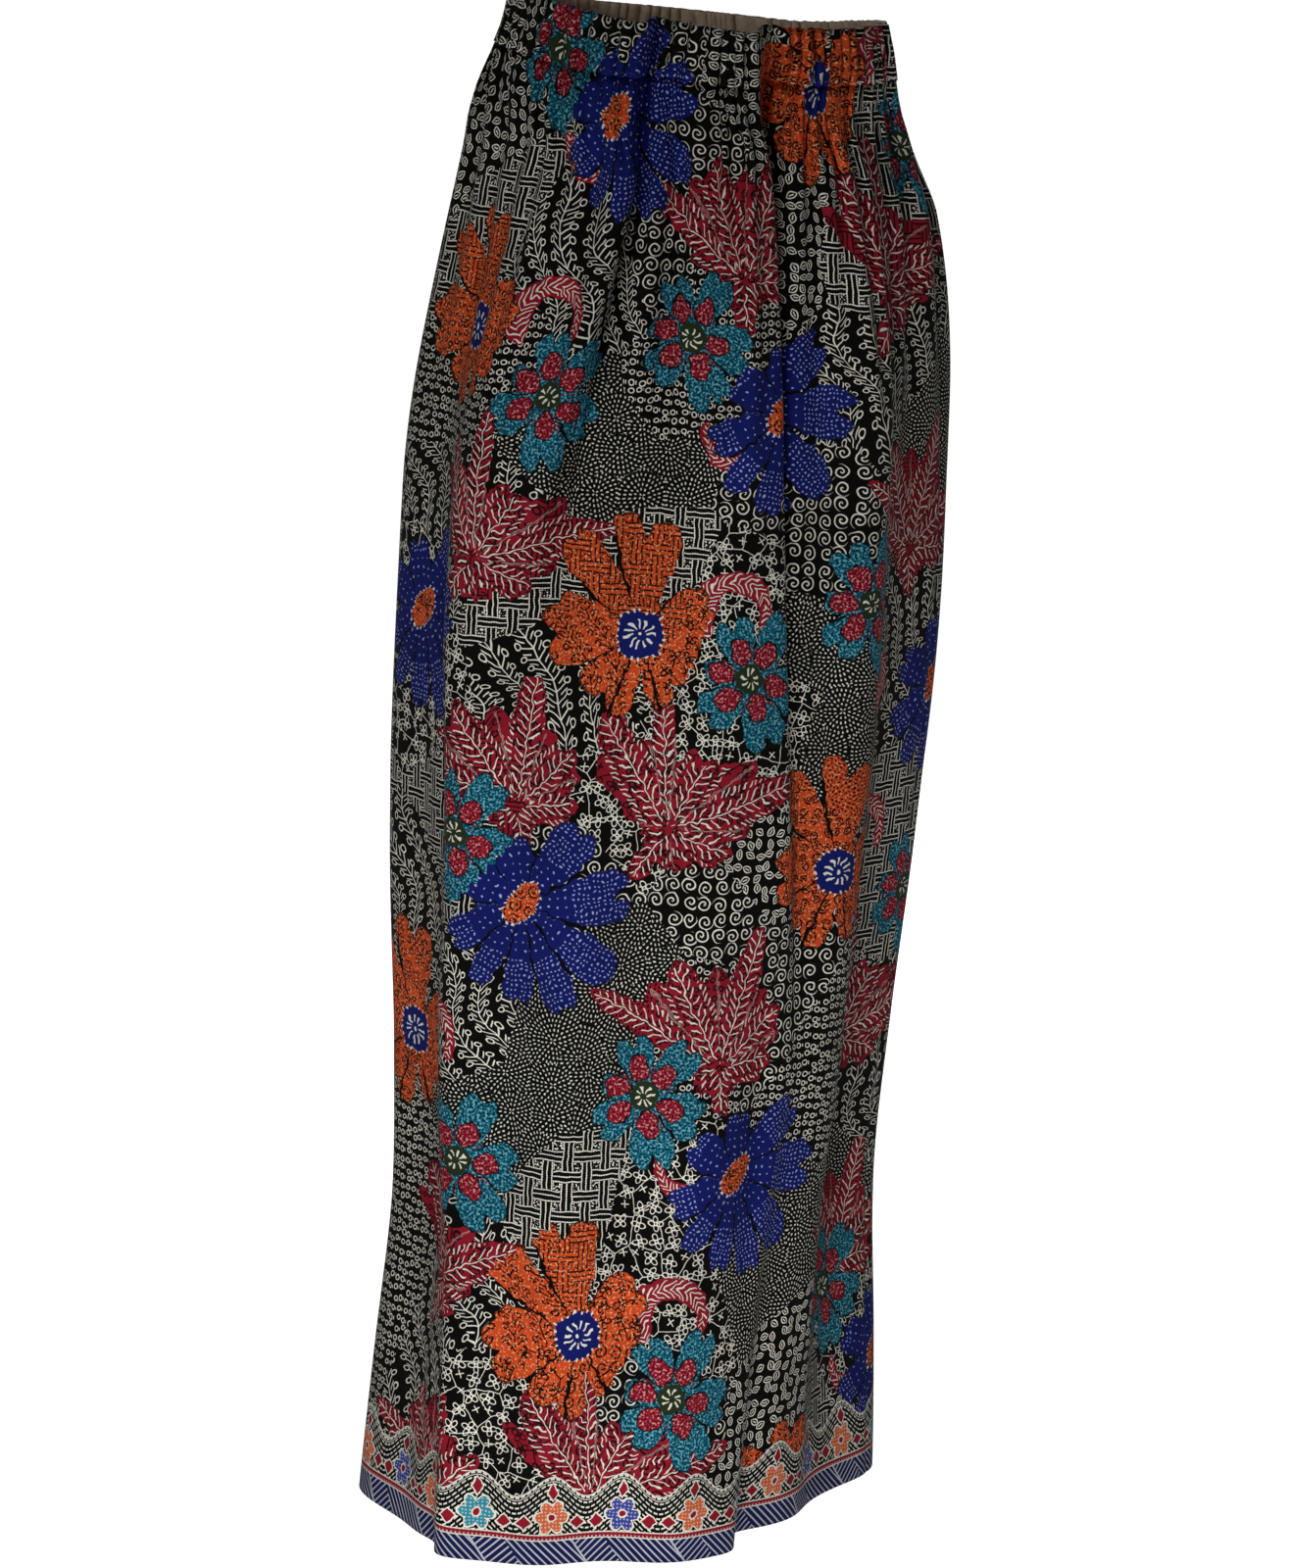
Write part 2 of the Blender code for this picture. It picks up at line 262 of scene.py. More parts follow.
def drape(below, columns):
    """Where the cloth lies: x and y for each depth (row) and place round the cloth (column)."""
    edge = np.linspace(0.0, CLOTH_ROUND, FINE_STEPS + 1)
    middle = (edge[1:] + edge[:-1]) / 2
    step = edge[1] - edge[0]
    place = middle - CLOTH_ROUND / 2
    round_share = 2 * np.pi * middle / CLOTH_ROUND
    uneven = 1 + 0.25 * np.sin(5 * round_share + 0.7) + 0.15 * np.sin(11 * round_share + 2.0)
    gather_weight = np.interp(place, FULLNESS[:, 0], FULLNESS[:, 1]) * uneven
    rough = 1 + 0.40 * np.sin(13 * round_share + 2.0) + 0.35 * np.sin(31 * round_share)
    flute_weight = np.interp(place, FULLNESS[:, 0], FULLNESS[:, 2]) * uneven
    fade = np.clip((below - CASING) / (GATHERS_END - CASING), 0, 1)[:, None]
    flute_share = fade * fade * (3 - 2 * fade)
    pucker = np.clip((FINE_END - below) / (FINE_END - 0.5 * CASING), 0, 1)[:, None]
    pucker_share = pucker * pucker * (3 - 2 * pucker)
    gather_wave = np.sin(2 * np.pi * gather_phase(middle))
    fine_wave = rough * np.sin(FINE_GATHERS * round_share + 1.9 * np.sin(9 * round_share)
                               + 1.3 * np.sin(17 * round_share + 1.0)
                               + 1.4 * np.sin(6 * round_share + 38 * below[:, None]))
    flute_wave = np.sin(FLUTES * round_share + 1.6 * np.sin(2 * round_share + 0.5))

    folded = np.zeros((len(below), FINE_STEPS))
    quiet = np.zeros_like(folded)
    for fold in FOLDS.values():
        turn, still = fold_turn(fold, place, below)
        folded += turn
        quiet = np.maximum(quiet, still)

    ring_x, ring_y, arc = body_rings(below)
    girth = arc[:, -1:]
    bend = 2 * np.pi / girth

    def lay(fullness):
        spare = fullness * gather_weight * (1 - flute_share)
        fine = wave_turn(np.clip(spare * pucker_share, 0, 0.93))
        gathers = wave_turn(np.clip(spare * (1 - pucker_share), 0, 0.93))
        flutes = wave_turn(np.clip(fullness * flute_weight * flute_share, 0, 0.90))
        waves = fine * fine_wave + gathers * gather_wave + flutes * flute_wave
        turn = folded + 1.6 * np.tanh(waves / 1.6) * (1 - quiet)
        rise = np.sin(turn)
        rise -= rise.mean(axis=1, keepdims=True)
        stand = np.cumsum(rise, axis=1) * step
        stand -= stand.mean(axis=1, keepdims=True)
        return stand, np.cos(turn) / (1 + bend * stand)

    low = np.zeros_like(girth)
    high = np.full_like(girth, 1.2)
    for _ in range(22):
        fullness = (low + high) / 2
        stand, rate = lay(fullness)
        loose = rate.sum(axis=1, keepdims=True) * step > girth
        low = np.where(loose, fullness, low)
        high = np.where(loose, high, fullness)

    rate *= girth / (rate.sum(axis=1, keepdims=True) * step)
    travel = np.concatenate([np.zeros_like(girth), np.cumsum(rate, axis=1) * step], axis=1)
    stand = np.concatenate([stand[:, -1:], stand], axis=1)
    creased = crease_stand((columns - CLOTH_ROUND / 2)[None, :], below[:, None])
    wrapped = np.mod(columns, CLOTH_ROUND)
    x = np.empty((len(below), len(columns)))
    y = np.empty_like(x)
    for row in range(len(below)):
        start = arc[row, RING_STEPS // 2] - np.interp(CLOTH_ROUND / 2, edge, travel[row])

        def on_ring(shift):
            at = np.mod(np.interp(wrapped, edge, travel[row]) + start + shift, arc[row, -1])
            return np.interp(at, arc[row], ring_x[row]), np.interp(at, arc[row], ring_y[row])

        here_x, here_y = on_ring(0.0)
        ahead_x, ahead_y = on_ring(SLOPE_REACH)
        behind_x, behind_y = on_ring(-SLOPE_REACH)
        along = np.hypot(ahead_x - behind_x, ahead_y - behind_y)
        out = np.interp(wrapped, edge, stand[row]) + creased[row]
        x[row] = here_x + out * (ahead_y - behind_y) / along
        y[row] = here_y - out * (ahead_x - behind_x) / along
    return x, y


def height(x, y, below):
    """Height of a point of the cloth, with the waist edge's tilt fading downwards."""
    forward = np.clip(-y / 0.1, 0, 1)
    behind = np.clip(y / 0.08, 0, 1)
    tilt = WAIST_LIFT + WAIST_SLOPE * x + WAIST_DIP * forward * forward
    tilt = tilt + WAIST_SINK_BEHIND * behind * behind
    return CASING / 2 - below + tilt * np.exp(-below / WAIST_FADE)


# The batik print
# Wax-resist cotton: every line was drawn in wax and shows cream on the near-black ground, and
# black where a colour was brushed in. Motifs repeat in a dropped lattice down the cloth. All
# sizes are in millimetres on the flat cloth: u from the centre front, v down from the waist.
REPEAT_ACROSS = 450.0
FLOWERS = np.array([
    # kind (1 orange, 2 blue, 3 teal), u, v, turn in degrees, size
    (1, 128, 36, 0, 1.13),
    (1, -173, 198, 4, 0.98),
    (1, -18, 376, 0, 1.00),
    (1, 143, 530, -6, 1.00),
    (1, -221, 660, 0, 1.00),
    (1, -36, 822, 12, 1.02),
    (1, 160, 973, 4, 1.00),
    (2, -73, 58, 8, 1.00),
    (2, 70, 234, -10, 1.00),
    (2, -212, 382, 0, 1.00),
    (2, 279, 422, 0, 1.00),
    (2, -88, 550, 0, 1.00),
    (2, 70, 722, -12, 0.96),
    (2, 285, 884, 0, 1.00),
    (3, -131, 24, 0, 1.10),
    (3, 241, 74, 10, 1.00),
    (3, -93, 232, -14, 1.00),
    (3, 3, 190, 4, 1.00),
    (3, 159, 356, 8, 1.06),
    (3, 54, 400, 0, 1.02),
    (3, -135, 510, -6, 1.00),
    (3, 272, 564, 0, 1.00),
    (3, 1, 670, -8, 1.00),
    (3, -123, 720, 12, 1.00),
    (3, 28, 862, 4, 1.04),
    (3, 222, 830, -10, 1.00),
])
LEAVES = np.array([
    # kind (1 hanging leaf, 2 reaching leaf, 3 curl), u, v, turn in degrees, size
    (1, 187, 164, -4, 1.08),
    (1, -127, 336, -4, 0.96),
    (1, 6, 497, 0, 1.00),
    (1, 222, 660, -4, 1.00),
    (1, -158, 806, 4, 0.92),
    (1, -22, 930, 0, 1.00),
    (2, 40, 152, -6, 1.00),
    (2, 236, 332, -4, 0.98),
    (2, -95, 490, 8, 0.96),
    (2, 50, 650, 0, 1.00),
    (2, 238, 818, 0, 0.94),
    (2, -140, 945, 6, 1.00),
    (3, 42, 360, 0, 1.00),
    (3, -106, 186, 6, 1.00),
    (3, 214, 520, 0, 1.00),
    (3, 26, 812, 4, 1.00),
    (3, 205, 22, 0, 1.00),
    (3, -152, 645, 0, 1.00),
    (3, -98, 76, 196, 0.90),
    (3, 36, 246, 196, 0.90),
    (3, 192, 412, 196, 0.90),
    (3, 32, 712, 196, 0.90),
    (3, 250, 884, 196, 0.90),
])
PATCHES = [
    # filler, then the u and v of each place where the wax was drawn in that way
    ("weave", [(-175, 120), (-100, 345), (10, 320), (-55, 740), (245, 85), (190, 115),
               (-140, 500), (205, 905), (142, 142), (240, 510)]),
    ("swirls", [(5, 70), (-20, 20), (50, 280), (45, 545), (95, 600), (5, 872), (-15, 130),
                (120, 320), (-45, 510)]),
    ("drops", [(-240, 75), (-195, 80), (70, 100), (100, 75), (70, 520), (110, 515), (140, 885),
               (25, 25), (125, 930), (250, 920), (103, 125), (104, 155), (150, 915)]),
    ("rice", [(-35, 255), (110, 380), (-60, 645), (5, 270), (-100, 695), (-10, 595), (240, 262),
              (150, 450), (230, 745), (85, 780), (-60, 245)]),
    ("sprigs", [(-105, 150), (-75, 170), (125, 192), (205, 232), (-75, 405), (-125, 630), (255, 715),
                (-180, 830), (-105, 795), (215, 420), (-210, 590), (-120, 330)]),
    ("rings", [(40, 190), (25, 155), (-135, 205), (25, 610), (-10, 235), (155, 645),
               (-215, 815)]),
    ("blooms", [(35, 330), (50, 430), (80, 455), (-35, 500), (35, 800), (20, 755), (-90, 875),
                (90, 420), (-175, 420), (285, 830), (240, 885)]),
]
BACK_START = 330.0
BACK_END = 765.0
CELL_LEFT = -228
CELL_RIGHT = 222
MOTIF_CLEARANCE = 74.0
PATCH_CLEARANCE = 70.0
FAR_AWAY = 900.0
WEAVE_PITCH = 12.8
SWIRL_PITCH = 10.4
SWIRL_ARM = 3.1
BLOOM_PITCH = 10.4
BLOOM_STEMS = 16.0
RICE_ROSETTES = 26.0
RICE_RING = 3.1
DROP_PITCH = 7.4
RING_PITCH = 5.9
SPRIG_STEMS = 22.0
SPRIG_TWIGS = 8.0
WAX_HALF_WIDTH = 0.36
DARK_HALF_WIDTH = 0.56


def round_the_cloth(front, clearance):
    """Carry the front's lattice on round the back, and let it wrap at the left."""
    cell = front[(front[:, 0] > CELL_LEFT) & (front[:, 0] < CELL_RIGHT)]
    back = []
    for step in (1, 2):
        moved = cell.copy()
        moved[:, 0] += step * REPEAT_ACROSS
        for row in moved:
            near = np.hypot(front[:, 0] - row[0], front[:, 1] - row[1]).min()
            lap = np.hypot(front[:, 0] + 1000 * CLOTH_ROUND - row[0], front[:, 1] - row[1]).min()
            if BACK_START < row[0] < BACK_END and min(near, lap) > clearance:
                back.append(row)
    whole = np.vstack([front] + back)
    laps = []
    for lap in (-1, 0, 1):
        moved = whole.copy()
        moved[:, 0] += lap * 1000 * CLOTH_ROUND
        laps.append(moved)
    return np.vstack(laps)


def nearest_motif(motifs, spans, u, v, centre_u, centre_v):
    """Each corner's place in its face's nearest motif: x and y in mm, and the motif's kind."""
    away = np.hypot(centre_u[:, None] - motifs[None, :, 0], centre_v[:, None] - motifs[None, :, 1])
    span = np.array(spans)[motifs[:, 2].astype(int) - 1] * motifs[:, 4] ** 0.3
    mine = motifs[np.argmin(away / span[None, :], axis=1)]
    mine = np.repeat(mine, len(u) // len(mine), axis=0)
    turn = np.radians(mine[:, 3])
    across = (u - mine[:, 0]) / mine[:, 4]
    up = (mine[:, 1] - v) / mine[:, 4]
    x = across * np.cos(turn) + up * np.sin(turn)
    y = up * np.cos(turn) - across * np.sin(turn)
    return np.column_stack([x, y, mine[:, 2]])


def print_cloth(piece):
    """Write where each motif and each filler lies on a piece, from its cloth coordinates."""
    data = piece.data
    corners = np.empty(len(data.loops) * 2, dtype=np.float32)
    data.uv_layers["cloth"].data.foreach_get("uv", corners)
    u, v = corners.reshape(-1, 2).T.astype(float) * 1000
    centre_u = u.reshape(-1, 4).mean(axis=1)
    centre_v = v.reshape(-1, 4).mean(axis=1)
    for name, table, spans in (("flower", FLOWERS, (1.0, 1.0, 1.0)),
                               ("leaf", LEAVES, (1.0, 1.0, 0.5))):
        motifs = round_the_cloth(table[:, [1, 2, 0, 3, 4]], MOTIF_CLEARANCE)
        place = nearest_motif(motifs, spans, u, v, centre_u, centre_v)
        layer = data.attributes.new(name, "FLOAT_VECTOR", "CORNER")
        layer.data.foreach_set("vector", place.astype(np.float32).ravel())
    closeness = []
    for _, spots in PATCHES:
        spots = np.array(spots, dtype=float)
        spots = np.column_stack([spots, np.ones((len(spots), 3))])
        spots = round_the_cloth(spots, PATCH_CLEARANCE)
        away = np.full(len(u), FAR_AWAY)
        for spot in spots:
            away = np.minimum(away, np.hypot(u - spot[0], v - spot[1]))
        closeness.append(-away)
    closeness += [np.full(len(u), -FAR_AWAY)] * 2
    for name, first in (("filler_a", 0), ("filler_b", 3), ("filler_c", 6)):
        layer = data.attributes.new(name, "FLOAT_VECTOR", "CORNER")
        place = np.column_stack(closeness[first:first + 3])
        layer.data.foreach_set("vector", place.astype(np.float32).ravel())


def linear(colour):
    """sRGB hex to linear red, green, blue and alpha."""
    parts = [int(colour[k:k + 2], 16) / 255 for k in (1, 3, 5)]
    return tuple(c / 12.92 if c <= 0.04045 else ((c + 0.055) / 1.055) ** 2.4
                 for c in parts) + (1.0,)


# Which setting of a node is its main choice, and short words for the nodes used most: size is
# the absolute value, part the fraction, near a comparison, paint a colour laid where it shows
MAIN_CHOICE = {"Math": "operation", "VectorMath": "operation", "Mix": "data_type",
               "MapRange": "interpolation_type", "TexNoise": "noise_dimensions",
               "TexVoronoi": "voronoi_dimensions", "VectorRotate": "rotation_type"}
SHORT_NAMES = {"*": "Math MULTIPLY", "+": "Math ADD", "-": "Math SUBTRACT", "/": "Math DIVIDE",
               "*+": "Math MULTIPLY_ADD", "<": "Math LESS_THAN", ">": "Math GREATER_THAN",
               "near": "Math COMPARE", "size": "Math ABSOLUTE", "part": "Math FRACT",
               "floor": "Math FLOOR", "lower": "Math MINIMUM", "higher": "Math MAXIMUM",
               "sine": "Math SINE", "cosine": "Math COSINE", "paint": "Mix RGBA",
               "scale": "VectorMath SCALE", "length": "VectorMath LENGTH",
               "dot": "VectorMath DOT_PRODUCT", "shift": "VectorMath MULTIPLY_ADD"}


def new_material(name):
    """A new material and its shader; add() puts nodes in it until the next one is begun."""
    global tree
    material = bpy.data.materials.new(name)
    material.use_nodes = True
    tree = material.node_tree
    return material, tree.nodes["Principled BSDF"]


def add(kind, *inputs, **settings):
    """Add one shader node: its kind and main choice, its inputs in order and its settings."""
    name, _, choice = SHORT_NAMES.get(kind, kind).partition(" ")
    node = tree.nodes.new("ShaderNode" + name)
    if choice:
        setattr(node, MAIN_CHOICE[name], choice)
    for key, value in settings.items():
        setattr(node, key, value)
    sockets = [socket for socket in node.inputs if socket.enabled]
    for socket, value in zip(sockets, inputs):
        if isinstance(value, str):
            value = linear(value)
        if isinstance(value, bpy.types.Node):
            value = next(output for output in value.outputs if output.enabled)
        if isinstance(value, bpy.types.NodeSocket):
            tree.links.new(value, socket)
        elif value is not None:
            socket.default_value = value
    return node


def petal_outline(core, petals, bulges=(), gaps=(), ripple=0.0):
    """Reach, axis and nearness to a gap of a motif in each direction, from its petals."""
    angle = np.linspace(-180.0, 180.0, 181)
    reach = np.full(len(angle), core)
    axis = np.zeros(len(angle))
    nearest = np.full(len(angle), 99.0)
    for direction, spread, length, notch, point in list(petals) + list(bulges):
        off = ((angle - direction + 180) % 360 - 180) / spread
        body = np.clip(1 - np.abs(off) ** (3.2 - 2.0 * point), 0, 1) ** (0.36 + 0.5 * point)
        shape = length * body - notch * np.exp(-(off / 0.14) ** 2)
        reach = np.maximum(reach, shape)
    for direction, spread, *_ in petals:
        off = np.abs((angle - direction + 180) % 360 - 180) / spread
        axis = np.where(off < nearest, direction, axis)
        nearest = np.minimum(off, nearest)
    reach *= 1 + ripple * np.cos(np.radians(19 * angle + 6 * np.sin(np.radians(3 * angle))))
    apart = np.ones(len(angle))
    for direction in gaps:
        apart = np.minimum(apart, np.abs((angle - direction + 180) % 360 - 180) / 8.0)
    return reach / 100.0, ((axis + 180) % 360) / 360.0, apart


MOTIFS = {
    # direction, spread, length, notch and point of each petal, in degrees and millimetres
    "orange": petal_outline(22.0, [
        (99, 12, 76, 0, 0.1), (78, 14, 72, 0, 0.0), (88, 19, 47, 0, 0.0), (128, 17, 76, 7, 0.0),
        (160, 16, 55, 0, 0.3), (173, 20, 63, 0, 0.5), (195, 16, 60, 0, 0.1),
        (227, 18, 49, 0, 0.0), (255, 17, 53, 0, 0.1), (291, 17, 48, 0, 0.1),
        (322, 20, 43, 0, 0.0), (26, 30, 50, 4, 0.0), (352, 24, 41, 0, 0.0),
    ], gaps=(108, 143, 210, 250, 288, 53)),
    "blue": petal_outline(31.0, [
        (52, 20, 67, 8, 0.0), (102, 24, 44, 6, 0.0), (9, 22, 74, 13, 0.0),
        (-33, 18, 76, 0, 0.2), (-62, 15, 73, 5, 0.0), (-90, 15, 65, 5, 0.0),
        (-118, 14, 61, 0, 0.2), (-148, 20, 54, 5, 0.0), (158, 26, 46, 5, 0.0),
    ], gaps=(77, 31, -12, -48, -76, -104, -133, 185, 130)),
    "teal": petal_outline(21.0, [
        (57, 25, 46, 6, 0.0), (112, 29, 40, 8, 0.0), (168, 22, 30, 0, 0.0),
        (222, 34, 38, 6, 0.0), (290, 30, 48, 11, 0.1), (346, 35, 42, 7, 0.0),
    ], gaps=(85, 141, 194, 257, 318, 21)),
    "hanging": petal_outline(17.0, [
        (95, 11, 94, 0, 0.7), (123, 19, 90, 0, 0.8), (63, 32, 52, 0, 0.1), (20, 25, 96, 0, 0.9),
        (-18, 32, 42, 0, 0.3), (236, 26, 42, 0, 0.8),
    ], [
        (141, 11, 84, 0, 0.8), (110, 26, 60, 0, 0.1), (38, 22, 68, 0, 0.3), (4, 22, 52, 0, 0.4),
        (300, 60, 27, 0, 0.0), (150, 24, 34, 0, 0.2),
    ], ripple=0.055),
    "reaching": petal_outline(19.0, [
        (151, 17, 98, 0, 0.9), (118, 20, 76, 0, 0.5), (74, 19, 92, 0, 0.8),
        (38, 30, 56, 0, 0.3), (4, 36, 42, 0, 0.2), (277, 32, 32, 0, 0.8),
    ], [
        (136, 24, 70, 0, 0.3), (98, 22, 64, 0, 0.1), (56, 26, 56, 0, 0.3),
        (166, 22, 40, 0, 0.3),
    ], ripple=0.06),
}
CURL_WIDTH = petal_outline(0.0, [(80, 72, 7.0, 0, 0.2), (160, 62, 8.0, 0, 0.3),
                                 (-5, 28, 4.2, 0, 0.3)])[0]


def turn_curves(turn, tables):
    """A node that looks up to three tables up by the direction round a motif."""
    node = add("RGBCurve", 1.0, turn)
    for curve, table in zip(node.mapping.curves, tables):
        places = np.linspace(0.0, 1.0, len(table))
        curve.points[0].location = (0.0, table[0])
        curve.points[-1].location = (1.0, table[-1])
        for place, value in zip(places[1:-1], table[1:-1]):
            curve.points.new(place, value)
        for point in curve.points:
            point.handle_type = "VECTOR"
    node.mapping.update()
    return node


def far_unless(distance, shown):
    """A wax line's distance in mm, pushed far off where the line isn't shown."""
    hidden = add("-", 1.0, shown)
    return add("*+", hidden, 9.0, distance)


def weave(at):
    """Strands of three beaded lines, over and under, with speckled squares between them."""
    strand = add("shift", at, (1 / WEAVE_PITCH, 1 / WEAVE_PITCH, 0.0), (0.05, 0.05, 0.0))
    cell = add("VectorMath FLOOR", strand)
    part_u, part_v, _ = add("SeparateXYZ", add("VectorMath FRACTION", strand)).outputs
    count = add("dot", cell, (0.5, 0.5, 0.0))
    over = add("<", add("part", count), 0.25)
    lines = add("shift", at, (4 / WEAVE_PITCH, 4 / WEAVE_PITCH, 0.0), (0.5, 0.5, 0.0))
    lines = add("VectorMath FRACTION", lines)
    off = add("VectorMath ABSOLUTE", add("VectorMath SUBTRACT", lines, (0.5, 0.5, 0.0)))
    off = add("scale", off, WEAVE_PITCH / 4)
    off_u, off_v, _ = add("SeparateXYZ", off).outputs
    in_level = add("<", part_v, 0.6)
    in_upright = add("<", part_u, 0.6)
    crossing = add("*", in_level, in_upright)
    under_level = add("*", crossing, add("-", 1.0, over))
    under_upright = add("*", crossing, over)
    level = far_unless(off_v, add("-", in_level, under_level))
    upright = far_unless(off_u, add("-", in_upright, under_upright))
    beads = add("VectorMath SINE", add("scale", at, 2 * math.pi / 1.6))
    beads = add("dot", beads, (0.09, 0.09, 0.0))
    nearest = add("+", add("lower", level, upright), beads)
    crumbs = add("TexNoise 2D", at, 0.75, 0.0)
    crumbs = add("MapRange LINEAR", crumbs, 0.52, 0.66, 1.2, 0.0)
    solid = add("higher", in_level, in_upright)
    return add("lower", nearest, add("*+", solid, 9.0, crumbs))


def scattered(at, pitch, looseness):
    """Cells about one pitch apart: offset from the cell's centre, radius, turn and chance."""
    cells = add("TexVoronoi 2D", at, 1 / pitch, 0.0, 0.5, 2.0, looseness)
    local = add("VectorMath SUBTRACT", at, cells.outputs["Position"])
    radius = add("length", local)
    x, y, _ = add("SeparateXYZ", local).outputs
    turn = add("*", add("Math ARCTAN2", y, x), 1 / (2 * math.pi))
    chance = add("SeparateXYZ", cells.outputs["Color"]).outputs
    return x, y, radius, turn, chance


def off_centre(value, pitch):
    """Distance in mm from the middle of a repeat of the given pitch."""
    part = add("part", value)
    off = add("size", add("-", part, 0.5))
    return add("*", off, pitch)


def swirls(at):
    """Spirals of one and a half turns, each wound at one pitch."""
    _, _, radius, turn, chance = scattered(at, SWIRL_PITCH, 0.32)
    wound = add("+", turn, chance[0])
    line = off_centre(add("*+", radius, 1 / SWIRL_ARM, wound), SWIRL_ARM)
    line = add("-", line, 0.10)
    return far_unless(line, add("<", radius, 5.1))


def blooms(at):
    """Clovers of four looped petals and small stars, over thin straight branching stems."""
    _, _, radius, turn, chance = scattered(at, BLOOM_PITCH, 0.45)
    spin = add("*+", turn, 4.0, chance[0])
    side = add("-", add("part", spin), 0.5)
    side = add("*", add("*", side, 2 * math.pi / 4), radius)
    loop = add("CombineXYZ", add("*", side, 1 / 1.6), add("*+", radius, 1 / 1.95, -2.9 / 1.95), 0.0)
    loop = add("-", add("length", loop), 1.0)
    loop = add("*", add("size", loop), 1.8)
    star = far_unless(add("size", side), add("<", radius, 2.7))
    starry = add("<", chance[1], 0.30)
    head = add("Mix FLOAT", starry, loop, star)
    stems = add("TexVoronoi 2D", at, 1 / BLOOM_STEMS, 0.0, 0.5, 2.0, 1.0, feature="DISTANCE_TO_EDGE")
    stems = add("*+", stems, BLOOM_STEMS, 0.1)
    return add("lower", head, stems)


def rice(at):
    """Grains in rings round scattered rosette centres."""
    _, _, radius, turn, _ = scattered(at, RICE_ROSETTES, 0.75)
    rings = add("/", radius, RICE_RING)
    ring = add("floor", rings)
    count = add("floor", add("*+", ring, 7.2, 4.0))
    step = add("*+", turn, count, add("*", ring, 0.5))
    round_off = add("-", add("part", step), 0.5)
    out_off = add("-", add("part", rings), 0.5)
    offset = add("CombineXYZ", round_off, add("*", out_off, 0.62), 0.0)
    grain = add("length", offset)
    return add("*+", grain, 2.7, -0.12)


def drops(at):
    """Outlined seeds, pointed at both ends, with a short vein and turned every way."""
    _, _, radius, turn, chance = scattered(at, DROP_PITCH, 0.45)
    aim = add("*", add("+", turn, chance[0]), 2 * math.pi)
    along = add("*", radius, add("cosine", aim))
    across = add("size", add("*", radius, add("sine", aim)))
    bow = add("*", add("*", along, along), 0.19)
    edge = add("+", across, add("-", bow, 2.0))
    outline = add("*", add("size", edge), 0.85)
    vein = far_unless(across, add("near", along, 0.0, 1.5))
    return add("lower", outline, vein)


def rings(at):
    """Small rings with a short dash beside each."""
    x, y, radius, _, _ = scattered(at, RING_PITCH, 0.45)
    ring = add("size", add("-", radius, 1.55))
    dash = add("size", add("-", x, 2.9))
    dash = far_unless(dash, add("near", y, 0.0, 1.0))
    return add("lower", ring, dash)


def sprigs(at):
    """Wandering stems, with twigs that end in rings and short strokes between."""
    wander = add("TexNoise 2D", at, 0.022, 0.0)
    wander = add("shift", wander.outputs["Color"], (20.0, 20.0, 0.0), at)
    turned = add("VectorRotate Z_AXIS", wander, None, math.radians(24))
    u, v, _ = add("SeparateXYZ", turned).outputs
    sway = add("sine", add("*", v, 1 / 12.0))
    bent = add("*+", sway, 5.5, u)
    off = off_centre(add("*", bent, 1 / SPRIG_STEMS), SPRIG_STEMS)
    rise = add("*+", off, 0.9, v)
    step = add("part", add("*", rise, 1 / SPRIG_TWIGS))
    along = add("*", add("-", step, 0.5), SPRIG_TWIGS)
    apart = add("size", along)
    twig = far_unless(add("*", apart, 0.74), add("<", off, 5.2))
    out = add("-", off, 6.8)
    ring = add("CombineXYZ", out, add("*+", out, -0.9, along), 0.0)
    ring = add("length", ring)
    ring = add("size", add("-", ring, 1.7))
    stroke = add("*+", apart, -0.74, 2.96)
    stroke = far_unless(stroke, add("near", off, 3.9, 1.9))
    bare = add("lower", add("lower", off, twig), ring)
    return add("lower", bare, stroke)


def fillers(at):
    """Distance in mm to the wax lines of the ground, by the filler whose patch is nearest."""
    closeness = []
    for name in ("filler_a", "filler_b", "filler_c"):
        layer = add("Attribute", attribute_name=name)
        closeness += list(add("SeparateXYZ", layer.outputs["Vector"]).outputs)
    closeness = closeness[:len(PATCHES)]
    best = closeness[0]
    for value in closeness[1:]:
        best = add("higher", best, value)
    best = add("-", best, 0.001)
    patterns = {
        "weave": weave(at),
        "swirls": swirls(at),
        "blooms": blooms(at),
        "rice": rice(at),
        "drops": drops(at),
        "rings": rings(at),
        "sprigs": sprigs(at),
    }
    distance = 0.0
    for (name, _), value in zip(PATCHES, closeness):
        mine = add(">", value, best)
        distance = add("*+", mine, patterns[name], distance)
    return distance


def motif_layer(name, wobble, reaches, axes):
    """Where a layer's motifs are: which kind, how deep inside, and the petal's own axes."""
    layer = add("Attribute", attribute_name=name)
    _, _, kind = add("SeparateXYZ", layer.outputs["Vector"]).outputs
    drawn = add("shift", layer.outputs["Vector"], (1.0, 1.0, 0.0), wobble)
    x, y, _ = add("SeparateXYZ", drawn).outputs
    radius = add("length", drawn)
    angle = add("Math ARCTAN2", y, x)
    turn = add("*+", angle, 1 / (2 * math.pi), 0.5)
    which = [add("near", kind, number, 0.3) for number in (1.0, 2.0, 3.0)]
    choice = add("CombineXYZ", *which)
    reach = add("dot", turn_curves(turn, reaches), choice)
    axis = add("dot", turn_curves(turn, axes), choice)
    margin = add("-", add("*", reach, 100.0), radius)
    lean = add("-", angle, add("*+", axis, 2 * math.pi, -math.pi))
    along = add("*", radius, add("cosine", lean))
    across = add("*", radius, add("sine", lean))
    return drawn, radius, turn, which, margin, along, across


def dotted(along, across, pitch, size):
    """Rows of wax dots."""
    grid = add("CombineXYZ", along, across, 0.0)
    grid = add("VectorMath FRACTION", add("scale", grid, 1 / pitch))
    off = add("VectorMath DISTANCE", grid, (0.5, 0.5, 0.0))
    return add("<", off, size)


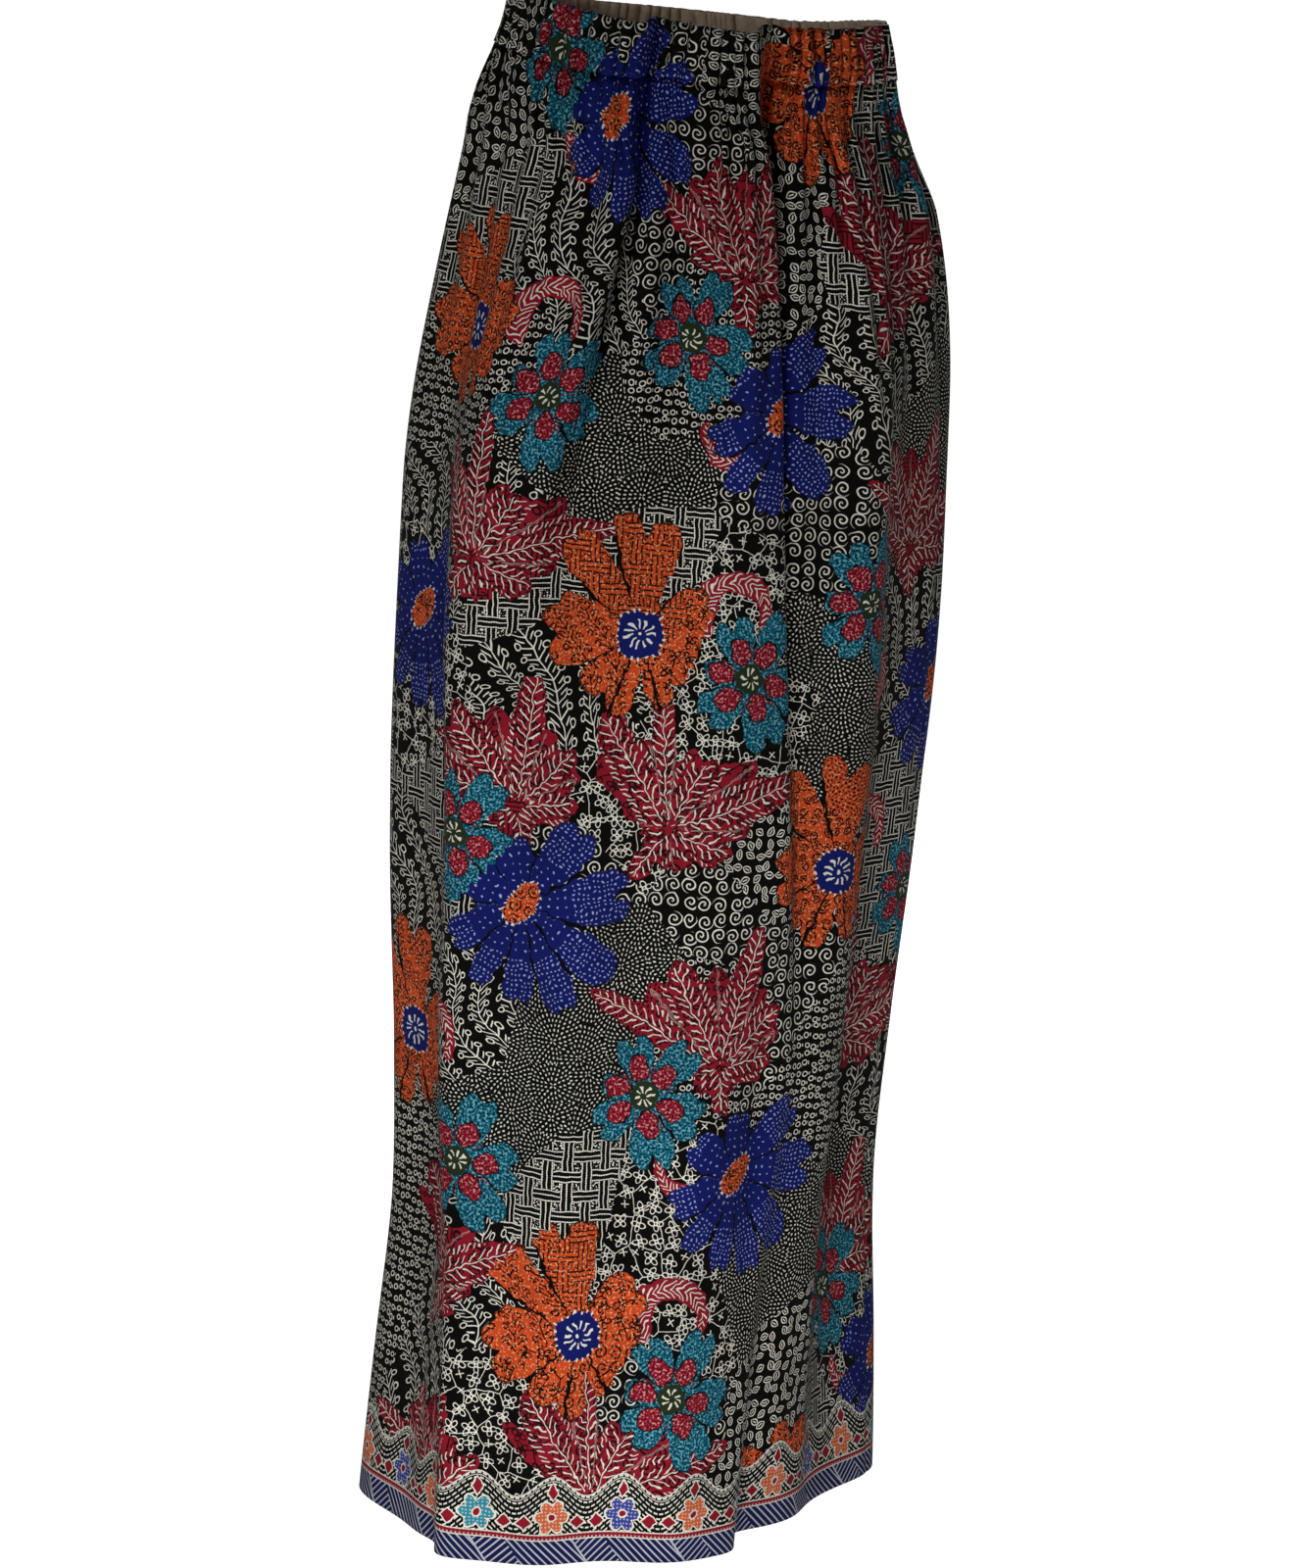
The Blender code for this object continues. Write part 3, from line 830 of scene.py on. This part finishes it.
def spokes(radius, turn, count, inner, outer):
    """White dashes that stand like spokes round a flower's centre."""
    step = add("part", add("*", turn, count))
    dash = add("near", step, 0.5, 0.17)
    band = add("near", radius, (inner + outer) / 2, (outer - inner) / 2)
    return add("*", dash, band)


def veined(along, across, margin):
    """A leaf lobe's midrib and slanting veins, drawn in short strokes of wax."""
    side = add("size", across)
    rib = add("+", side, 0.05)
    rib = far_unless(rib, add(">", along, 7.0))
    slant = add("*+", side, -0.9, along)
    vein = off_centre(add("*", slant, 1 / 6.0), 4.4)
    vein = far_unless(vein, add("near", side, 4.3, 2.9))
    outer = off_centre(add("*", slant, 1 / 4.0), 3.0)
    outer = far_unless(outer, add("near", side, 11.5, 1.8))
    both = add("lower", add("lower", rib, vein), outer)
    both = add("<", both, 0.42)
    return add("*", both, add(">", margin, 3.0))


GROUND = "#070705"
WAX_LINE = "#f0ede0"
ORANGE = "#d84d20"
BLUE = "#141d68"
PALE_BLUE = "#aab6e6"
TEAL = "#0f6780"
PALE_TEAL = "#86cbd8"
RED = "#961a2c"
DARK_GREEN = "#28331c"
HEM_PITCH = 48.0
HEM_EDGE_BAND = 15.5
HEM_RED_LINE = 20.0
HEM_FLOWER_UP = 31.0
SCALLOP_MIDDLE = 51.0
SCALLOP_WAVE = 7.0


def hem_border(at, colour, wobble):
    """The printed border: scallops of dashes over small flowers, a red line and a rope band."""
    u, v, _ = add("SeparateXYZ", at).outputs
    up = add("-", 1000 * LENGTH, v)
    cells = add("*", u, 1 / HEM_PITCH)
    number = add("Math ROUND", cells)
    x = add("*", add("-", cells, number), HEM_PITCH)
    wave = add("cosine", add("*", cells, 2 * math.pi))
    crest = add("*+", wave, SCALLOP_WAVE, SCALLOP_MIDDLE)
    drop = add("-", crest, up)
    inside = add(">", drop, 0.0)

    row = add("*", drop, 1 / 3.3)
    odd = add("*", add("floor", row), 0.5)
    dash = add("part", add("*+", u, 1 / 3.6, odd))
    dashes = add("*", add("near", dash, 0.5, 0.34), add("near", add("part", row), 0.5, 0.17))
    edge_line = add("near", drop, 0.6, 0.42)
    second_line = add("near", drop, 3.2, 0.26)
    wax = add("higher", add("higher", dashes, edge_line), second_line)
    field = add("paint", wax, GROUND, WAX_LINE)
    colour = add("paint", inside, colour, field)

    y = add("-", up, HEM_FLOWER_UP)
    spot = add("shift", wobble, (0.5, 0.5, 0.0), add("CombineXYZ", x, y, 0.0))
    spot_x, spot_y, _ = add("SeparateXYZ", spot).outputs
    radius = add("length", spot)
    angle = add("Math ARCTAN2", spot_y, spot_x)
    lobes = add("size", add("cosine", add("*", angle, 3.0)))
    edge = add("*+", lobes, 4.6, 7.2)
    kind = add("part", add("*+", number, 0.25, 0.125))
    orange_here = add(">", add("part", add("*", number, 0.5)), 0.25)
    blue_here = add("<", kind, 0.25)
    petal = add("paint", blue_here, "#2f93a6", "#3a46a0")
    petal = add("paint", orange_here, petal, "#e06a3a")
    speckle = dotted(spot_x, spot_y, 2.4, 0.24)
    petal = add("paint", add("*", speckle, 0.6), petal, WAX_LINE)
    flower = add("<", radius, edge)
    colour = add("paint", flower, colour, petal)
    rim = add("near", radius, edge, 0.65)
    heart_rim = add("near", radius, 2.6, 0.5)
    colour = add("paint", add("higher", rim, heart_rim), colour, WAX_LINE)
    colour = add("paint", add("<", radius, 2.1), colour, RED)

    side = add("size", spot_x)
    bud_across = add("*", side, 1 / 3.6)
    bud_up = add("*", add("-", spot_y, 16.5), 1 / 5.6)
    bud = add("+", bud_across, add("size", bud_up))
    leaf_across = add("*", add("-", side, 17.5), 1 / 5.0)
    leaf_up = add("*", add("+", spot_y, 4.0), 1 / 4.4)
    leaf = add("+", add("size", leaf_across), add("size", leaf_up))
    trim = add("lower", bud, leaf)
    colour = add("paint", add("<", trim, 1.22), colour, WAX_LINE)
    colour = add("paint", add("<", trim, 0.95), colour, RED)

    line = add("<", up, HEM_RED_LINE)
    colour = add("paint", line, colour, WAX_LINE)
    middle = (HEM_EDGE_BAND + HEM_RED_LINE) / 2
    red_line = add("near", up, middle, 1.5)
    red = add("paint", add("*", dotted(u, up, 2.6, 0.22), 0.6), RED, WAX_LINE)
    colour = add("paint", red_line, colour, red)

    band = add("<", up, HEM_EDGE_BAND)
    share = add("part", add("*+", up, 1 / 90, add("*", u, 1 / 66)))
    other = add(">", share, 0.66)
    lean = add("*+", other, -2.1, 1.05)
    rope = add("part", add("*", add("*+", up, lean, u), 1 / 5.2))
    strand = add("near", rope, 0.5, 0.14)
    seam = add("near", add("size", add("-", share, 0.66)), 0.0, 0.012)
    strand = add("higher", strand, seam)
    roped = add("paint", strand, "#181d52", "#c9cbd0")
    return add("paint", band, colour, roped)


def batik_cotton(name, with_hem, dulled):
    """Printed cotton lawn: matt, its dye uneven and its wax lines fine; dulled on the reverse."""
    material, shader = new_material(name)
    cloth = add("UVMap", uv_map="cloth")
    at = add("scale", cloth, 1000.0)
    hand = add("TexNoise 2D", at, 0.13, 1.0)
    wobble = add("shift", hand.outputs["Color"], (5.0, 5.0, 0.0), (-2.5, -2.5, 0.0))
    hand_drawn = add("VectorMath ADD", at, add("scale", wobble, 0.35))
    distance = fillers(hand_drawn)
    lines = add("<", distance, WAX_HALF_WIDTH)
    dark_lines = add("<", distance, DARK_HALF_WIDTH)
    colour = add("paint", lines, GROUND, WAX_LINE)

    _, radius, turn, which, margin, along, across = motif_layer(
        "leaf", wobble,
        [MOTIFS["hanging"][0], MOTIFS["reaching"][0], CURL_WIDTH],
        [MOTIFS["hanging"][1], MOTIFS["reaching"][1], np.full(181, 0.5)])
    leaf = add(">", margin, 0.0)
    leaf = add("*", leaf, add("-", 1.0, which[2]))
    veins = veined(along, across, margin)
    red = add("paint", dark_lines, RED, "#1c0709")
    red = add("paint", veins, red, WAX_LINE)
    colour = add("paint", leaf, colour, red)
    from_arc = add("size", add("-", radius, 21.0))
    half = add("+", margin, radius)
    depth = add("-", half, from_arc)
    curl = add("*", add(">", depth, 0.0), which[2])
    feather = add("*+", from_arc, 0.009, turn)
    feather = add("near", add("part", add("*", feather, 30.0)), 0.5, 0.14)
    feather = add("*", feather, add(">", depth, 1.4))
    curl_red = add("paint", feather, RED, WAX_LINE)
    colour = add("paint", curl, colour, curl_red)

    drawn, radius, turn, which, margin, along, across = motif_layer(
        "flower", wobble,
        [MOTIFS["orange"][0], MOTIFS["blue"][0], MOTIFS["teal"][0]],
        [MOTIFS["orange"][1], MOTIFS["blue"][1], MOTIFS["teal"][1]])
    inside = add(">", margin, 0.0)
    rim = add("near", margin, 0.0, 0.7)
    orange = add("paint", dark_lines, ORANGE, "#180a05")
    speck = add("TexNoise 2D", at, 0.62, 1.0)
    bright = add(">", speck, 0.60)
    deep = add("<", speck, 0.43)
    orange = add("paint", add(">", speck, 0.64), orange, "#f0a878")
    sparse = dotted(along, across, 5.6, 0.11)
    dense = dotted(along, across, 3.2, 0.19)
    outer = add(">", radius, 36.0)
    dots = add("Mix FLOAT", outer, sparse, dense)
    blue = add("paint", dots, BLUE, PALE_BLUE)
    teal = add("paint", add("*", bright, 0.75), TEAL, PALE_TEAL)
    teal = add("paint", add("*", deep, 0.85), teal, "#06222c")
    oval_spot = add("CombineXYZ", add("*", add("-", along, 18.5), 1 / 8.2),
                    add("*", across, 1 / 6.4), 0.0)
    oval = add("length", oval_spot)
    teal = add("paint", add("<", oval, 1.12), teal, "#12100e")
    berry = add("paint", add("*", deep, 0.8), "#a01c30", "#2c080e")
    berry = add("paint", add(">", speck, 0.635), berry, "#d9a0a0")
    teal = add("paint", add("<", oval, 1.0), teal, berry)

    petal = add("paint", which[0], blue, orange)
    petal = add("paint", which[2], petal, teal)
    apart = turn_curves(turn, [MOTIFS[kind][2] for kind in ("orange", "blue", "teal")])
    apart = add("dot", apart, add("CombineXYZ", *which))
    gap = add("*", add("<", apart, 0.19), add(">", radius, 15.0))
    petal = add("paint", gap, petal, GROUND)
    colour = add("paint", inside, colour, petal)
    on_flower = add("<", radius, 90.0)
    rim = add("*", rim, on_flower)
    colour = add("paint", add("*", rim, 0.8), colour, GROUND)

    corner = add("VectorMath ABSOLUTE", drawn)
    corner_x, corner_y, _ = add("SeparateXYZ", corner).outputs
    square = add("higher", corner_x, corner_y)
    square = add("*+", add("+", corner_x, corner_y), 0.25, add("*", square, 0.72))
    heart = add("*", add("<", square, 14.6), which[0])
    edge_dots = add("*", spokes(square, turn, 22.0, 14.0, 15.6), which[0])
    white = add("higher", spokes(radius, turn, 11.0, 4.2, 9.4), add("<", radius, 1.4))
    heart_blue = add("paint", white, BLUE, "#f0eee4")
    colour = add("paint", heart, colour, heart_blue)
    colour = add("paint", edge_dots, colour, WAX_LINE)
    lens_axes = add("VectorRotate Z_AXIS", drawn, None, math.radians(-52))
    lens = add("length", add("VectorMath MULTIPLY", lens_axes, (1 / 15.5, 1 / 8.8, 0.0)))
    lens_in = add("*", add("<", lens, 1.0), which[1])
    lens_rim = add("*", spokes(lens, turn, 24.0, 1.0, 1.14), which[1])
    colour = add("paint", lens_in, colour, orange)
    colour = add("paint", lens_rim, colour, WAX_LINE)
    button = add("*", add("<", radius, 9.2), which[2])
    green = add("paint", spokes(radius, turn, 8.0, 2.4, 6.4), DARK_GREEN, WAX_LINE)
    colour = add("paint", button, colour, green)

    if with_hem:
        colour = hem_border(at, colour, wobble)

    uneven = add("TexNoise 2D", at, 0.021, 3.0)
    fade = add("MapRange LINEAR", uneven, 0.3, 0.7, 0.86, 1.08)
    colour = add("paint", dulled, colour, "#453d33")
    colour = add("scale", colour, fade)
    tree.links.new(colour.outputs["Vector"], shader.inputs["Base Color"])
    shader.inputs["Roughness"].default_value = 0.85
    shader.inputs["Specular IOR Level"].default_value = 0.05

    # Plain weave, drawn at 1.1 mm so that it shows, over soft crumples of 15 to 40 mm
    threads = add("VectorMath SINE", add("scale", at, 2 * math.pi / 1.1))
    thread_u, thread_v, _ = add("SeparateXYZ", threads).outputs
    weave_height = add("*", add("+", thread_u, thread_v), 0.00002)
    crumple = add("TexNoise 2D", at, 0.045, 3.0, 0.55)
    crumple = add("*+", crumple, 0.0022, weave_height)
    u, v, _ = add("SeparateXYZ", at).outputs
    streaks = add("CombineXYZ", add("*", u, 0.30), add("*", v, 0.016), 0.0)
    streaks = add("TexNoise 2D", streaks, 1.0, 2.0)
    near_waist = add("MapRange SMOOTHSTEP", v, 20.0, 150.0, 0.0034, 0.0)
    heights = add("*+", streaks, near_waist, crumple)
    bump = add("Bump", 1.0, 1.0)
    tree.links.new(heights.outputs[0], bump.inputs["Height"])
    tree.links.new(bump.outputs["Normal"], shader.inputs["Normal"])
    return material


def finished_piece(mesh, name):
    """The object that a worked mesh becomes."""
    data = bpy.data.meshes.new(name)
    mesh.to_mesh(data)
    mesh.free()
    piece = bpy.data.objects.new(name, data)
    bpy.context.scene.collection.objects.link(piece)
    return piece


def cloth_piece(name, below, columns, wall, materials, ring=False):
    """A flat grid of cloth laid on the drape, with its cut kept as cloth coordinates."""
    x, y = drape(below, columns)
    z = height(x, y, below[:, None])
    rows, count = x.shape
    mesh = bmesh.new()
    bmesh.ops.create_grid(mesh, x_segments=count - 1, y_segments=rows - 1, size=0.5)
    cut = mesh.loops.layers.uv.new("cloth")
    column = {}
    row = {}
    for vert in mesh.verts:
        column[vert] = round((vert.co.x + 0.5) * (count - 1))
        row[vert] = round((0.5 - vert.co.y) * (rows - 1))
    for face in mesh.faces:
        for corner in face.loops:
            vert = corner.vert
            corner[cut].uv = (columns[column[vert]] - CLOTH_ROUND / 2, below[row[vert]])
        face.smooth = True
    for vert in mesh.verts:
        vert.co = (x[row[vert], column[vert]], y[row[vert], column[vert]],
                   z[row[vert], column[vert]])
    if ring:
        bmesh.ops.remove_doubles(mesh, verts=mesh.verts, dist=0.00002)
    piece = finished_piece(mesh, name)
    for material in materials:
        piece.data.materials.append(material)
    print_cloth(piece)
    thicken = piece.modifiers.new("wall", "SOLIDIFY")
    thicken.thickness = wall
    thicken.offset = 0.0
    thicken.material_offset = len(materials) - 1
    return piece


# Front and back panels
# Printed cotton lawn hanging from the casing to the hem, cut across its width and seamed down
# both sides. Each is a thin shell on its solid's form; its reverse is duller and browner.
PANEL_WALL = 0.0008
PANEL_TOP = CASING + 0.0003
PANEL_SEAM_GAP = 0.0002
PANEL_COLUMNS = 312
PANEL_ROWS = 148
HEM_PRINT_TOP = 0.896
SIDE_LEFT = 0.2725
SIDE_RIGHT = 0.8175

print_above = batik_cotton("batik_cotton_print", False, 0.0)
print_hem = batik_cotton("batik_cotton_border", True, 0.0)
reverse_above = batik_cotton("batik_cotton_print_reverse", False, 0.45)
reverse_hem = batik_cotton("batik_cotton_border_reverse", True, 0.45)
rows_below = np.linspace(PANEL_TOP, LENGTH, PANEL_ROWS + 1)
for panel, node, start, end in (("front_cloth", "front_panel", SIDE_LEFT, SIDE_RIGHT),
                                ("back_cloth", "back_panel", SIDE_RIGHT, SIDE_LEFT + CLOTH_ROUND)):
    places = np.linspace(start + PANEL_SEAM_GAP, end - PANEL_SEAM_GAP, PANEL_COLUMNS + 1)
    piece = cloth_piece(panel, rows_below, places, PANEL_WALL,
                        [print_above, print_hem, reverse_above, reverse_hem])
    for face in piece.data.polygons:
        corner = piece.data.uv_layers["cloth"].data[face.loop_start].uv
        face.material_index = 1 if corner[1] > HEM_PRINT_TOP else 0
    piece.modifiers["wall"].material_offset = 2
    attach(piece, "root")
    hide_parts(node)


# Waist casing
# The top of the same cloth turned over a band of elastic and stitched down, so the print runs
# on over it and it is drawn into tight gathers.
CASING_WALL = 0.0026
CASING_ROWS = 8
CASING_COLUMNS = 900


def tan_facing():
    """Plain tan cotton tape that faces the casing inside, woven in fine level ribs."""
    material, shader = new_material("tan_cotton_facing")
    cloth = add("UVMap", uv_map="cloth")
    at = add("scale", cloth, 1000.0)
    _, v, _ = add("SeparateXYZ", at).outputs
    mottle = add("TexNoise 2D", at, 0.12, 3.0)
    colour = add("paint", add("MapRange LINEAR", mottle, 0.35, 0.65, 0.0, 1.0), "#dcc6ae",
                 "#c4ad94")
    tree.links.new(next(output for output in colour.outputs if output.enabled),
                   shader.inputs["Base Color"])
    shader.inputs["Roughness"].default_value = 0.9
    ribs = add("sine", add("*", v, 2 * math.pi / 1.2))
    bump = add("Bump", 1.0, 1.0)
    tree.links.new(add("*", ribs, 0.00004).outputs[0], bump.inputs["Height"])
    tree.links.new(bump.outputs["Normal"], shader.inputs["Normal"])
    return material


casing_below = np.linspace(0.0, CASING, CASING_ROWS + 1)
casing_places = np.linspace(0.0, CLOTH_ROUND, CASING_COLUMNS + 1) + SIDE_LEFT
casing = cloth_piece("casing_cloth", casing_below, casing_places, CASING_WALL,
                     [print_above, tan_facing()], ring=True)
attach(casing, "root")
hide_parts("waist_casing")

# The row of stitches that holds the casing down, 3 mm above its lower edge
STITCH_PITCH = 0.004
STITCH_BELOW = 0.031
STITCH_HALF_LENGTH = 0.0014
STITCH_HALF_WIDTH = 0.00028
stitch_count = round(CLOTH_ROUND / STITCH_PITCH)
stitch_places = np.arange(3 * stitch_count + 1) * CLOTH_ROUND / (3 * stitch_count)
line_x, line_y = drape(np.array([STITCH_BELOW]), stitch_places)
line_z = height(line_x, line_y, STITCH_BELOW)
line = np.column_stack([line_x[0], line_y[0], line_z[0]])
thread = bmesh.new()
for k in range(1, 3 * stitch_count, 3):
    along = Vector(line[k + 1] - line[k - 1]).normalized()
    across = along.cross(Vector((0.0, 0.0, 1.0))).normalized()
    up = across.cross(along)
    turned = Matrix((along, across, up)).transposed().to_4x4()
    if across.dot(Vector((line[k][0], line[k][1], 0.0))) < 0:
        across = -across
    lie = Matrix.Translation(Vector(line[k]) + across * (CASING_WALL / 2 + 0.0001)) @ turned
    lie = lie @ Matrix.Diagonal((STITCH_HALF_LENGTH, STITCH_HALF_WIDTH, STITCH_HALF_WIDTH, 1.0))
    bmesh.ops.create_icosphere(thread, subdivisions=1, radius=1.0, matrix=lie)
for face in thread.faces:
    face.smooth = True
stitches = finished_piece(thread, "casing_stitches")
sewing_thread, thread_shader = new_material("polyester_sewing_thread")
thread_shader.inputs["Base Color"].default_value = linear("#3a3934")
thread_shader.inputs["Roughness"].default_value = 0.55
stitches.data.materials.append(sewing_thread)
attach(stitches, "root")


# Floor, light and camera
# A plain white floor, a low soft lamp in front, one at the left that shows the folds and one
# behind. The camera is a little above the waist and looks down, tilted as the photograph is.
FLOOR_Z = -1.06
ROOM_LIGHT = 0.12

mesh = bmesh.new()
bmesh.ops.create_grid(mesh, x_segments=1, y_segments=1, size=60.0)
bmesh.ops.translate(mesh, verts=mesh.verts, vec=(0.0, 0.0, FLOOR_Z))
floor = finished_piece(mesh, "floor")
paper, paper_shader = new_material("matt_white_paper")
paper_shader.inputs["Base Color"].default_value = linear("#bcbcba")
paper_shader.inputs["Roughness"].default_value = 0.9
paper_shader.inputs["Emission Color"].default_value = linear("#ffffff")
paper_shader.inputs["Emission Strength"].default_value = 1.0
floor.data.materials.append(paper)
# The paper glows as brightly as it is lit, and is kept from lighting the folds of the cloth
floor.visible_diffuse = False

# The room is white all round, and dimmer as a light than it looks, so that the folds show
world = bpy.data.worlds.new("studio")
bpy.context.scene.world = world
world.use_nodes = True
tree = world.node_tree
room = tree.nodes["Background"]
room.inputs["Color"].default_value = linear("#ffffff")
seen = add("LightPath")
strength = add("MapRange LINEAR", seen.outputs["Is Camera Ray"], 0.0, 1.0, ROOM_LIGHT, 1.0)
tree.links.new(strength.outputs["Result"], room.inputs["Strength"])
bpy.context.scene.view_settings.view_transform = "Standard"

LIGHTS = [
    # name, place, size, watts
    ("low_light", (-0.02, -1.05, -1.02), 0.35, 9.4),
    ("front_light", (-1.60, -2.0, 0.45), 0.35, 7.0),
    ("back_light", (0.60, 2.9, -0.20), 0.9, 34.0),
]
for name, place, size, watts in LIGHTS:
    lamp = bpy.data.lights.new(name, "AREA")
    lamp.size = size
    lamp.energy = watts
    lamp_object = bpy.data.objects.new(name, lamp)
    aim = Vector((0.0, 0.0, -0.60)) - Vector(place)
    turned = aim.to_track_quat("-Z", "Y").to_matrix().to_4x4()
    lamp_object.matrix_world = Matrix.Translation(place) @ turned
    bpy.context.scene.collection.objects.link(lamp_object)

CAMERA_PLACE = (-0.0095, -3.0, 0.167)
CAMERA_PITCH = 77.8
CAMERA_ROLL = 3.3
lens = bpy.data.cameras.new("camera")
lens.sensor_fit = "VERTICAL"
lens.sensor_height = 36.0
lens.lens = 108.1
camera = bpy.data.objects.new("camera", lens)
camera.matrix_world = (Matrix.Translation(CAMERA_PLACE)
                       @ Matrix.Rotation(math.radians(CAMERA_PITCH), 4, "X")
                       @ Matrix.Rotation(math.radians(CAMERA_ROLL), 4, "Z"))
bpy.context.scene.collection.objects.link(camera)
bpy.context.scene.camera = camera
